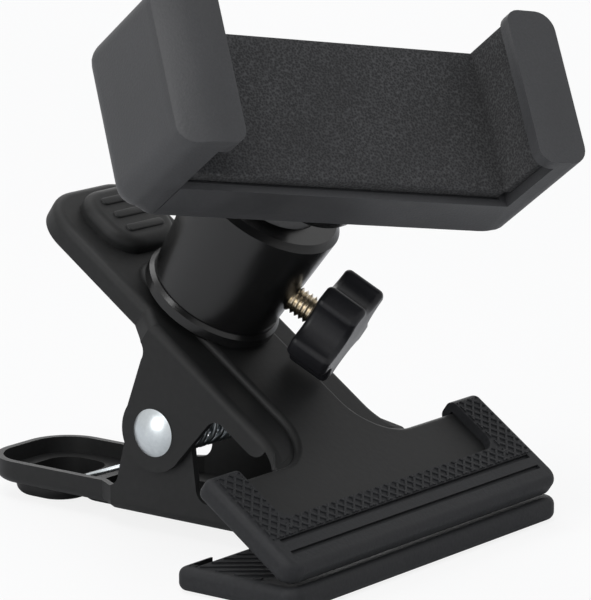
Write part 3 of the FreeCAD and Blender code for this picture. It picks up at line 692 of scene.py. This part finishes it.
    def build_pads(self) -> None:
        """Foam on the base and on both jaws."""
        near, far = self.near_margin - self.half, self.half - self.far_margin
        top = self.base + self.foam
        under = self.height - self.lip_height + self.lip_lap
        fixed_under = self.height - self.fixed_lip + self.lip_lap
        reach = self.gap / 2 - self.slide_gap
        inside, wall = self.gap / 2, self.wall_in
        self.pad("base_foam", (-reach, near, self.base - self.recess), (inside + self.lap, far, top),
                 "phone_clip", "base_pad")
        self.pad("fixed_jaw_foam", (inside, near, top - self.lap), (wall, far, fixed_under),
                 "phone_clip", "fixed_jaw_pad")
        self.pad("sliding_jaw_foam", (-wall, near, top), (-inside, far, under),
                 "sliding_jaw", "sliding_jaw_pad")


@dataclass
class JawTread:
    """Ribs moulded on the rubber boots: crossed on top, slanting on the bite."""

    finishes: Finishes
    upper: Matrix
    lower: Matrix
    half: float = 36.5
    arm: float = 7.6
    back: float = 22.6
    band: float = 10.0
    upper_reach: float = 44.2
    lower_reach: float = 46.0
    top: float = 17.7
    bite: float = 13.7
    border: float = 1.6
    grooves: float = 6.8
    pitch: float = 1.55
    rib: float = 0.5
    proud: float = 0.25
    sunk: float = 0.15
    crest_round: float = 0.45
    crest_steps: int = 2
    hatch_angle: float = 42.0
    strip_gap: float = 0.2
    arm_gap: float = 0.4
    back_gap: float = 1.2
    bite_angle: float = 50.0
    bite_pitch: float = 2.4
    bite_front: float = 8.0
    bite_back: float = 3.6

    def build(self) -> None:
        """Build every ribbed patch."""
        self.build_hatch()
        self.build_bite("upper_bite_ribs", self.upper, self.upper_reach, "upper_jaw")
        self.build_bite("lower_bite_ribs", self.lower, self.lower_reach, "lower_jaw")

    def ribs(self, name: str, low: Corner, high: Corner, angle: float, pitch: float) -> bpy.types.Object:
        """Shape slanting ribs over a rectangle.

        Args:
            name: Name of the patch.
            low: Lowest corner of the patch, with its foot.
            high: Highest corner, with the ribs' crest.
            angle: Direction of the ribs from X in degrees.
            pitch: Distance from rib to rib.

        Returns:
            The ribs, trimmed to the patch.
        """
        centre = (Vector(low) + Vector(high)) / 2
        span = math.hypot(high[0] - low[0], high[1] - low[1]) + 2 * pitch
        foot, crest = low[2], high[2]
        count = math.ceil(span / pitch)
        first = -pitch * (count - 1) / 2
        rib = Bench.block(name, (-span / 2, first - self.rib / 2, foot),
                          (span / 2, first + self.rib / 2, crest))
        Bench.round_edges(rib, (crest - foot) * self.crest_round, self.crest_steps,
                          lambda a, b: min(a.z, b.z) > crest - NEAR and abs(a.x - b.x) > NEAR)
        Bench.modify(rib, "ARRAY", count=count, use_relative_offset=False, use_constant_offset=True,
                     constant_offset_displace=(0, pitch, 0))
        turn = Matrix.Rotation(math.radians(angle), 4, "Z")
        Bench.move(rib, Matrix.Translation((centre.x, centre.y, 0)) @ turn)
        Bench.slice(rib, low, (-1, 0, 0), trim=True)
        Bench.slice(rib, low, (0, -1, 0), trim=True)
        Bench.slice(rib, high, (1, 0, 0), trim=True)
        Bench.slice(rib, high, (0, 1, 0), trim=True)
        return rib

    def settle(self, piece: bpy.types.Object, where: Matrix, body: str) -> None:
        """Put ribs in place, dress them and hand them to their body."""
        Bench.place(piece, where)
        self.finishes.hand_over(piece, Finishes.BOOT_RUBBER, body, "boot_rubber")

    def build_hatch(self) -> None:
        """Crossed ribs on both arms and on the strip behind the grooves of the upper boot."""
        foot, crest = self.top - self.sunk, self.top + self.proud
        front = self.grooves - self.upper_reach
        strip = self.band - self.upper_reach - self.strip_gap
        inner = self.half - self.arm + self.arm_gap
        outer = self.half - self.border
        rear = -self.back - self.back_gap
        patches = (
            ((-outer, front, foot), (-inner, rear, crest)),
            ((inner, front, foot), (outer, rear, crest)),
            ((-inner, front, foot), (inner, strip, crest)),
        )
        parts = [self.ribs("upper_boot_hatch", low, high, angle, self.pitch)
                 for low, high in patches for angle in (self.hatch_angle, -self.hatch_angle)]
        self.settle(Bench.join(parts[0], *parts[1:]), self.upper, "upper_jaw")

    def build_bite(self, name: str, where: Matrix, reach: float, body: str) -> None:
        """Slanting ribs on the face that bites."""
        crest = self.bite - self.proud
        low = (-self.half + self.border, self.bite_front - reach, crest)
        high = (self.half - self.border, -self.back - self.bite_back, self.bite + self.sunk)
        self.settle(self.ribs(name, low, high, self.bite_angle, self.bite_pitch), where, body)


@dataclass
class Levers:
    """Details of the stamped levers: ribs on the finger bulge and the webs that close the gutters."""

    finishes: Finishes
    upper: Matrix
    lower: Matrix
    bulge_top: float = 17.7
    rib_places: tuple[float, ...] = (28.6, 31.9, 35.2)
    rib_half: float = 4.6
    rib_width: float = 1.6
    rib_height: float = 0.32
    rib_end_round: float = 0.45
    rib_end_steps: int = 4
    rib_crest_round: float = 0.9
    rib_crest_steps: int = 3
    sunk: float = 0.5
    web_top: float = 14.85
    web: float = 0.9
    web_round: float = 0.3
    web_steps: int = 2
    web_inner: float = 8.0
    web_outer: float = 17.2
    web_back: float = -18.4
    web_front: float = -24.6
    web_lean: float = 4.0
    upper_flange: float = 12.6
    lower_flange: float = 11.6

    def build(self) -> None:
        """Build the ribs and the webs."""
        self.build_finger_ribs()
        self.build_web("upper_neck_webs", self.upper, self.upper_flange, "upper_jaw")
        self.build_web("lower_neck_webs", self.lower, self.lower_flange, "lower_jaw")

    def build_finger_ribs(self) -> None:
        """Cross ribs on the finger bulge of the upper lever."""
        parts = []
        crest = self.bulge_top + self.rib_height
        for along in self.rib_places:
            low = (-self.rib_half, along - self.rib_width / 2, self.bulge_top - self.sunk)
            rib = Bench.block("finger_ribs", low, (self.rib_half, along + self.rib_width / 2, crest))
            Bench.round_edges(rib, self.rib_width * self.rib_end_round, self.rib_end_steps,
                              lambda a, b: abs(a.z - b.z) > NEAR)
            Bench.round_edges(rib, self.rib_height * self.rib_crest_round, self.rib_crest_steps,
                              lambda a, b: min(a.z, b.z) > crest - NEAR)
            parts.append(rib)
        self.settle(Bench.join(parts[0], *parts[1:]), self.upper, "upper_jaw")

    def build_web(self, name: str, where: Matrix, flange: float, body: str) -> None:
        """Web of sheet between the ridge's foot and the flange, on both sides of a lever's neck.

        Args:
            name: Name of the piece.
            where: Frame of the lever.
            flange: Distance of the flange's bend from the middle, where the web starts.
            body: Body that it rides on.
        """
        piece = Bench.block(name, (-self.web_outer, self.web_front, self.web_top - self.web),
                            (-self.web_inner, self.web_back, self.web_top))
        run = self.web_back - self.web_front
        Bench.slice(piece, (-flange, self.web_back, 0), (-run, self.web_lean, 0), trim=True)
        Bench.round_edges(piece, self.web * self.web_round, self.web_steps, lambda a, b: True)
        Bench.modify(piece, "MIRROR", use_axis=(True, False, False))
        Bench.outward(piece)
        self.settle(piece, where, body)

    def settle(self, piece: bpy.types.Object, where: Matrix, body: str) -> None:
        """Put a piece of the levers in place, paint it and hand it to its body."""
        Bench.place(piece, where)
        self.finishes.hand_over(piece, Finishes.LEVER_PAINT, body, "black_steel")


@dataclass
class ThumbScrew:
    """Threaded stud of the thumb screw."""

    finishes: Finishes
    where: Matrix
    radius: float = 2.4
    root: float = 1.9
    pitch: float = 0.85
    tip: float = 4.2
    shoulder: float = 6.1
    end: float = 21.6
    sides: int = 32
    run_out: float = 0.6
    point: float = 0.3
    flank: float = 0.45
    thread_steps: int = 28
    crease: float = 40.0

    def build(self) -> None:
        """Build the stud's core and its thread."""
        core = Bench.rod("threaded_stud", self.root, self.shoulder - self.run_out, self.end, self.sides)
        Bench.pick(core, Pick.FACES, lambda c, n: n.z < -FACING)
        Bench.extrude((0, 0, self.tip - self.shoulder + self.run_out))
        bpy.ops.transform.resize(value=(self.point, self.point, 1.0))
        bpy.ops.object.mode_set(mode="OBJECT")
        piece = Bench.join(core, self.thread())
        Bench.place(piece, self.where, self.crease)
        self.finishes.hand_over(piece, Finishes.NICKEL, "thumb_screw", "nickel_stud", "thumb_screw_stud")

    def thread(self) -> bpy.types.Object:
        """Sweep one thread tooth along the stud.

        Returns:
            The thread as a closed coil.
        """
        Bench.clear()
        half_tooth = self.pitch * self.flank
        bpy.ops.mesh.primitive_circle_add(vertices=4, radius=half_tooth, fill_type="NGON")
        tooth = Bench.named("thread")
        Bench.everything(tooth)
        bpy.ops.transform.resize(value=((self.radius - self.root) / half_tooth, 1.0, 1.0))
        bpy.ops.object.mode_set(mode="OBJECT")
        stand = Matrix.Rotation(math.pi / 2, 4, "X")
        Bench.move(tooth, Matrix.Translation((self.root, 0, self.shoulder)) @ stand)
        turns = int((self.end - self.shoulder) / self.pitch)
        Bench.modify(tooth, "SCREW", axis="Z", screw_offset=self.pitch, iterations=turns,
                     steps=self.thread_steps, render_steps=self.thread_steps, use_normal_calculate=True)
        Bench.outward(tooth)
        return tooth


@dataclass
class Springs:
    """Torsion spring of the clamp and the two clip springs."""

    finishes: Finishes
    pivot: Matrix
    closed: float
    clip: Matrix
    wire: float = 0.9
    coil: float = 4.1
    half: float = 6.0
    turns: int = 5
    leg: float = 24.5
    leg_angle: float = 20.5
    bay_start: float = -27.3
    crossbar: float = 12.0
    travel: float = 27.0
    wire_sides: int = 12
    coil_steps: int = 32
    crease: float = 50.0

    def build(self) -> None:
        """Build the three springs."""
        self.build_torsion_spring()
        for node in ("upper_clip_spring", "lower_clip_spring"):
            self.build_clip_spring(node)

    def around(self, angle: float, level: float) -> Vector:
        """Point on the coil's centre line, from its angle in degrees and its level along the rivet."""
        turn = math.radians(angle)
        return Vector((self.coil * math.cos(turn), self.coil * math.sin(turn), level))

    def build_torsion_spring(self) -> None:
        """Coil round the rivet with a leg in each handle, wound between the two levers."""
        first = 90 + self.closed + self.leg_angle
        last = 270 - self.leg_angle
        sweep = 360 * self.turns + last - first
        Bench.clear()
        bpy.ops.mesh.primitive_circle_add(vertices=self.wire_sides, radius=self.wire / 2)
        coil = Bench.named("wound_spring")
        stand = Matrix.Rotation(math.pi / 2, 4, "X")
        turned = Matrix.Rotation(math.radians(first), 4, "Z")
        Bench.move(coil, turned @ Matrix.Translation((self.coil, 0, self.half)) @ stand)
        steps = self.coil_steps * self.turns
        Bench.modify(coil, "SCREW", axis="Z", angle=math.radians(sweep), screw_offset=-2 * self.half,
                     iterations=1, steps=steps, render_steps=steps)
        lie = self.closed + self.leg_angle
        upper = self.straight(self.around(first, self.half), lie)
        lower = self.straight(self.around(last, -self.half), -self.leg_angle)
        piece = Bench.join(coil, upper, lower)
        Bench.outward(piece)
        Bench.place(piece, self.pivot, self.crease)
        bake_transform(piece)
        self.dress(piece, "torsion_spring")

    def straight(self, start: Vector, angle: float) -> bpy.types.Object:
        """One leg of the torsion spring.

        Args:
            start: Where it leaves the coil.
            angle: Direction in degrees above the lower handle.

        Returns:
            The leg as a rod.
        """
        leg = Bench.rod("spring_leg", self.wire / 2, 0, self.leg, self.wire_sides)
        turn = math.radians(angle)
        along = Vector((math.cos(turn), math.sin(turn), 0))
        Bench.move(leg, Matrix.Translation(start) @ along.to_track_quat("Z", "Y").to_matrix().to_4x4())
        return leg

    def build_clip_spring(self, node: str) -> None:
        """Copy of a clip spring, handed to the clip."""
        source = frame["nodes"][node]
        piece = bpy.data.objects.new(f"{node}_coil", source.data.copy())
        bpy.context.scene.collection.objects.link(piece)
        Bench.everything(piece)
        bpy.ops.mesh.remove_doubles(threshold=NEAR * MM)
        Bench.move(piece, source.matrix_world)
        bpy.ops.object.shade_smooth_by_angle(angle=math.radians(self.crease))
        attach(piece, "phone_clip")
        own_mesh(piece)
        self.dress(piece, node)

    def dress(self, piece: bpy.types.Object, node: str) -> None:
        """Give a spring its finish and the CAD node that it stands for."""
        self.finishes.coat(piece, Finishes.ZINC)
        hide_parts(node)
        LOG.info("%s stands for %s", piece.name, node)


@dataclass
class Studio:
    """Camera, soft light, floor and white background."""

    target: tuple[float, float, float] = (0.01587, 0.03172, 0.03553)
    azimuth: float = -52.40
    elevation: float = 11.99
    distance: float = 0.6589
    sensor: float = 36.0
    focal_pixels: float = 3938.0
    width_pixels: float = 591.0
    near_clip: float = 0.01
    floor_size: float = 6.0
    floor_level: float = -0.0002
    floor_grey: float = 0.8
    floor_roughness: float = 0.8
    floor_white: float = 0.85
    sky: tuple[float, float, float] = (0.9, 0.93, 1.0)
    sky_strength: float = 0.45
    lamps: tuple[tuple[str, Corner, tuple[float, float], float], ...] = (
        ("high_softbox", (-0.43, -0.22, 0.95), (0.5, 0.5), 4.6),
        ("left_softbox", (-0.95, 0.12, 0.4), (0.6, 0.6), 3.4),
        ("back_softbox", (0.1, 0.6, 0.9), (0.6, 0.4), 1.6),
        ("right_softbox", (0.75, 0.55, 0.35), (0.4, 0.6), 1.0),
    )

    def build(self) -> None:
        """Build the studio."""
        self.build_camera()
        self.build_lights()
        self.build_floor()
        self.build_world()

    def build_camera(self) -> None:
        """Camera at the photograph's viewing angle."""
        turn, rise = math.radians(self.azimuth), math.radians(self.elevation)
        level = math.cos(rise)
        away = Vector((math.sin(turn) * level, -math.cos(turn) * level, math.sin(rise)))
        data = bpy.data.cameras.new("camera")
        data.sensor_fit = "HORIZONTAL"
        data.sensor_width = self.sensor
        data.lens = self.focal_pixels / self.width_pixels * self.sensor
        data.clip_start = self.near_clip
        camera = bpy.data.objects.new("camera", data)
        bpy.context.scene.collection.objects.link(camera)
        camera.location = Vector(self.target) + away * self.distance
        camera.rotation_euler = (-away).to_track_quat("-Z", "Y").to_euler()
        bpy.context.scene.camera = camera

    def lamp(self, name: str, place: Corner, size: tuple[float, float], power: float) -> None:
        """Add one softbox aimed at the object.

        Args:
            name: Name of the lamp.
            place: Where it stands, in metres.
            size: Width and height of its face.
            power: Its power in watts.
        """
        data = bpy.data.lights.new(name, "AREA")
        data.shape = "RECTANGLE"
        data.size, data.size_y = size
        data.energy = power
        lamp = bpy.data.objects.new(name, data)
        bpy.context.scene.collection.objects.link(lamp)
        lamp.location = place
        aim = Vector(self.target) - Vector(place)
        lamp.rotation_euler = aim.to_track_quat("-Z", "Y").to_euler()

    def build_lights(self) -> None:
        """Softboxes from high on the left, the left, behind and the right."""
        for lamp in self.lamps:
            self.lamp(*lamp)

    def build_floor(self) -> None:
        """Pale floor that keeps the object's shadow."""
        Bench.clear()
        bpy.ops.mesh.primitive_plane_add(size=self.floor_size, location=(0, 0, self.floor_level))
        floor = Bench.named("floor")
        material = bpy.data.materials.new("pale_floor")
        material.use_nodes = True
        nodes, links = material.node_tree.nodes, material.node_tree.links
        paint = nodes["Principled BSDF"]
        paint.inputs["Base Color"].default_value = (*[self.floor_grey] * 3, 1.0)
        paint.inputs["Roughness"].default_value = self.floor_roughness
        white = nodes.new("ShaderNodeEmission")
        rays = nodes.new("ShaderNodeLightPath")
        share = nodes.new("ShaderNodeMath")
        share.operation = "MULTIPLY"
        share.inputs[1].default_value = self.floor_white
        mix = nodes.new("ShaderNodeMixShader")
        links.new(rays.outputs["Is Camera Ray"], share.inputs[0])
        links.new(share.outputs["Value"], mix.inputs["Fac"])
        links.new(paint.outputs["BSDF"], mix.inputs[1])
        links.new(white.outputs["Emission"], mix.inputs[2])
        links.new(mix.outputs["Shader"], nodes["Material Output"].inputs["Surface"])
        floor.data.materials.append(material)

    def build_world(self) -> None:
        """White to the camera and to reflections, soft grey light otherwise."""
        world = bpy.data.worlds.new("studio")
        bpy.context.scene.world = world
        world.use_nodes = True
        nodes, links = world.node_tree.nodes, world.node_tree.links
        soft = nodes["Background"]
        soft.inputs["Color"].default_value = (*self.sky, 1.0)
        soft.inputs["Strength"].default_value = self.sky_strength
        white = nodes.new("ShaderNodeBackground")
        white.inputs["Strength"].default_value = 1.0
        rays = nodes.new("ShaderNodeLightPath")
        glass = nodes.new("ShaderNodeMath")
        glass.operation = "MAXIMUM"
        seen = nodes.new("ShaderNodeMath")
        seen.operation = "MAXIMUM"
        mix = nodes.new("ShaderNodeMixShader")
        links.new(rays.outputs["Is Glossy Ray"], glass.inputs[0])
        links.new(rays.outputs["Is Transmission Ray"], glass.inputs[1])
        links.new(rays.outputs["Is Camera Ray"], seen.inputs[0])
        links.new(glass.outputs["Value"], seen.inputs[1])
        links.new(seen.outputs["Value"], mix.inputs["Fac"])
        links.new(soft.outputs["Background"], mix.inputs[1])
        links.new(white.outputs["Background"], mix.inputs[2])
        links.new(mix.outputs["Shader"], nodes["World Output"].inputs["Surface"])
        bpy.context.scene.view_settings.view_transform = "Standard"


NODE_FINISHES = {
    Finishes.LEVER_PAINT: ("lower_jaw_arm", "upper_jaw_arm"),
    Finishes.BOOT_RUBBER: ("lower_jaw_pad", "upper_jaw_pad"),
    Finishes.ZINC: ("pivot_rivet", "torsion_spring", "ball_head_screw", "mount_nut", "cover_screws",
                    "upper_clip_spring", "lower_clip_spring"),
    Finishes.HEAD_COATING: ("base_ring", "ball_housing", "lock_nut"),
    Finishes.NICKEL: ("thumb_screw_stud",),
    Finishes.KNOB_PLASTIC: ("thumb_knob", "ball_seat"),
    Finishes.DARK_STEEL: ("ball_stem",),
    Finishes.CLIP_PLASTIC: ("clip_base", "sliding_jaw", "back_cover"),
    Finishes.PAD_FOAM: ("base_pad", "fixed_jaw_pad", "sliding_jaw_pad"),
}


def main() -> None:
    """Dress the CAD nodes, build the new pieces and the studio."""
    logging.basicConfig(level=logging.INFO, format="%(name)s: %(message)s")
    finishes = Finishes()
    places = Places()
    for finish, names in NODE_FINISHES.items():
        for name in names:
            finishes.coat_node(name, finish)
            LOG.info("%s dressed with %s", name, finish.name)
    PhoneClip(finishes, places.clip).build()
    JawTread(finishes, places.upper, places.lower).build()
    Levers(finishes, places.upper, places.lower).build()
    ThumbScrew(finishes, places.thumb).build()
    Springs(finishes, places.rivet, places.closed, places.clip).build()
    Studio().build()


if __name__ == "__main__":
    main()
